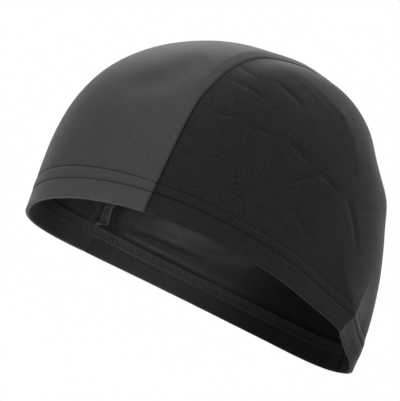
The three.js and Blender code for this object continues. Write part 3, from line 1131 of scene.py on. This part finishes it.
def way_to(azimuth_deg, elevation_deg):
    """The way from the cap to a place round it. An azimuth of 0 is in front of the cap, and 90 at
    its left."""
    azimuth, elevation = math.radians(azimuth_deg), math.radians(elevation_deg)
    level = math.cos(elevation)
    return Vector((math.sin(azimuth) * level, -math.cos(azimuth) * level, math.sin(elevation)))


def build_camera():
    azimuth = math.radians(CAMERA_AZIMUTH_DEG)
    back = way_to(CAMERA_AZIMUTH_DEG, CAMERA_ELEVATION_DEG)
    right = Vector((math.cos(azimuth), math.sin(azimuth), 0))
    up = back.cross(right)
    data = bpy.data.cameras.new("camera")
    data.lens = CAMERA_LENS
    data.sensor_width = 36
    data.sensor_fit = "HORIZONTAL"
    data.clip_start = 0.01
    data.clip_end = 50
    camera = linked("camera", data)
    camera.location = VIEW_MIDDLE + back * CAMERA_DISTANCE
    aim = VIEW_MIDDLE + right * AIM_RIGHT + up * AIM_UP
    camera.rotation_euler = (aim - camera.location).to_track_quat("-Z", "Y").to_euler()
    bpy.context.scene.camera = camera


# A white backdrop far behind the cap, in a darker studio
BACKDROP_AZIMUTH_DEG = 236
BACKDROP_ELEVATION_DEG = 10
BACKDROP_FADE = (0.1, 0.9)
STUDIO_BRIGHTNESS = 0.3

# Soft boxes: where each stands round the cap, how far off, how large and how bright
SOFT_BOXES = [
    {"name": "front_box", "azimuth": 74, "elevation": 36, "away": 1.3, "size": 0.8, "power": 6.8},
    {"name": "top_box", "azimuth": 250, "elevation": 72, "away": 1.1, "size": 0.9, "power": 11},
    {"name": "right_box", "azimuth": 172, "elevation": 42, "away": 1.3, "size": 0.8, "power": 4},
]

# A small box with a narrow beam that reaches in under the left edge, to a place on the dome
INSIDE_BOX = {"azimuth": 42, "elevation": -24, "away": 0.8, "size": 0.06, "power": 0.032, "beam_deg": 8}
INSIDE_BOX_TARGET = {"around": -87, "rise": 16}
FLOOR_LEVEL = -0.5
FLOOR_SIZE = 6
FLOOR_COLOUR = (0.8, 0.8, 0.8, 1)


def build_light(name, row, target):
    way = way_to(row["azimuth"], row["elevation"])
    data = bpy.data.lights.new(name, "AREA")
    data.shape = "SQUARE"
    data.size = row["size"]
    data.energy = row["power"]
    light = linked(name, data)
    light.location = target + way * row["away"]
    light.visible_camera = False
    light.rotation_euler = way.to_track_quat("Z", "Y").to_euler()
    return data


def build_world():
    world = bpy.data.worlds.new("white_studio")
    bpy.context.scene.world = world
    world.use_nodes = True
    tree = world.node_tree
    background = tree.nodes["Background"]
    background.inputs["Color"].default_value = (1, 1, 1, 1)
    way = tree.nodes.new("ShaderNodeTexCoord")
    toward = tree.nodes.new("ShaderNodeVectorMath")
    toward.operation = "DOT_PRODUCT"
    toward.inputs[1].default_value = way_to(BACKDROP_AZIMUTH_DEG, BACKDROP_ELEVATION_DEG)
    fade = tree.nodes.new("ShaderNodeMapRange")
    fade.interpolation_type = "SMOOTHSTEP"
    fade.inputs["From Min"].default_value, fade.inputs["From Max"].default_value = BACKDROP_FADE
    fade.inputs["To Min"].default_value, fade.inputs["To Max"].default_value = (STUDIO_BRIGHTNESS, 1)
    tree.links.new(way.outputs["Generated"], toward.inputs[0])
    tree.links.new(toward.outputs["Value"], fade.inputs["Value"])
    tree.links.new(fade.outputs["Result"], background.inputs["Strength"])
    bpy.context.scene.view_settings.view_transform = "Standard"


def build_lights():
    for row in SOFT_BOXES:
        build_light(row["name"], row, VIEW_MIDDLE)
    around, rise = (np.array(math.radians(INSIDE_BOX_TARGET[name])) for name in ("around", "rise"))
    inside = build_light("inside_box", INSIDE_BOX, Vector(to_frame(dome(around, rise))))
    inside.spread = math.radians(INSIDE_BOX["beam_deg"])


def build_floor():
    half = FLOOR_SIZE / 2
    corners = [(x * half, y * half, FLOOR_LEVEL) for x, y in ((-1, -1), (1, -1), (1, 1), (-1, 1))]
    mesh = bpy.data.meshes.new("floor")
    mesh.from_pydata(corners, [], [(0, 1, 2, 3)])
    mesh.materials.append(new_material("pale_floor", **{"Roughness": 0.8, "Base Color": FLOOR_COLOUR})[0])
    linked("floor", mesh)


def build_panels():
    centre = closed_sheet(
        "centre_panel_cloth", centre_panel_layers(), None, False, centre_grain, CHARCOAL, "charcoal_knit",
    )
    # Painted shade: the centre panel's inward faces take the darker copy of its knit
    paint_inside_shade(centre)
    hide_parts("centre_panel")
    for word, side in SIDES:
        layers, pin_row = side_panel_layers(side)
        panel = closed_sheet(
            f"{word}_side_cloth", layers, pin_row, side < 0, side_grain(side), BLACK, "black_knit",
        )
        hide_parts(f"{word}_side_panel")


def build_threads():
    stitches = joined([needle_stitches(row) for row in NEEDLE_ROWS])
    new_object("hem_needle_stitches", *stitches, NEEDLE, "overlock_thread")
    low, high = NEEDLE_ROWS
    loopers = joined([
        looper_thread(0.0, low + LOOPER_INSET, high, LOOPER_LIFTS[0]),
        looper_thread(0.5, high, low + LOOPER_INSET, LOOPER_LIFTS[1]),
        chain_loops(low), chain_loops(high),
    ])
    new_object("hem_looper_threads", *loopers, LOOPER, "overlock_thread")
    for word, side in SIDES:
        # Each seam's black thread, partly painted shade of the ditch between the panels
        new_object(f"{word}_seam_thread_and_shade", *seam_thread_and_shade(side), NEEDLE, "overlock_thread")
        strip = Allowance(side)
        core = new_object(f"{word}_seam_edges", *strip.core(), BLACK, "overlock_thread")
        set_flat_map(core, np.array([(v.co.x, v.co.y) for v in core.data.vertices]))
        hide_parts(f"{word}_seam_allowance")
        threads = joined([
            strip.wrap(), strip.needle_line(1), strip.needle_line(-1), strip.edge_chain(),
        ])
        new_object(f"{word}_overlock_threads", *threads, OVERLOCK, "overlock_thread")


build_camera()
build_world()
build_lights()
build_floor()
build_panels()
build_threads()
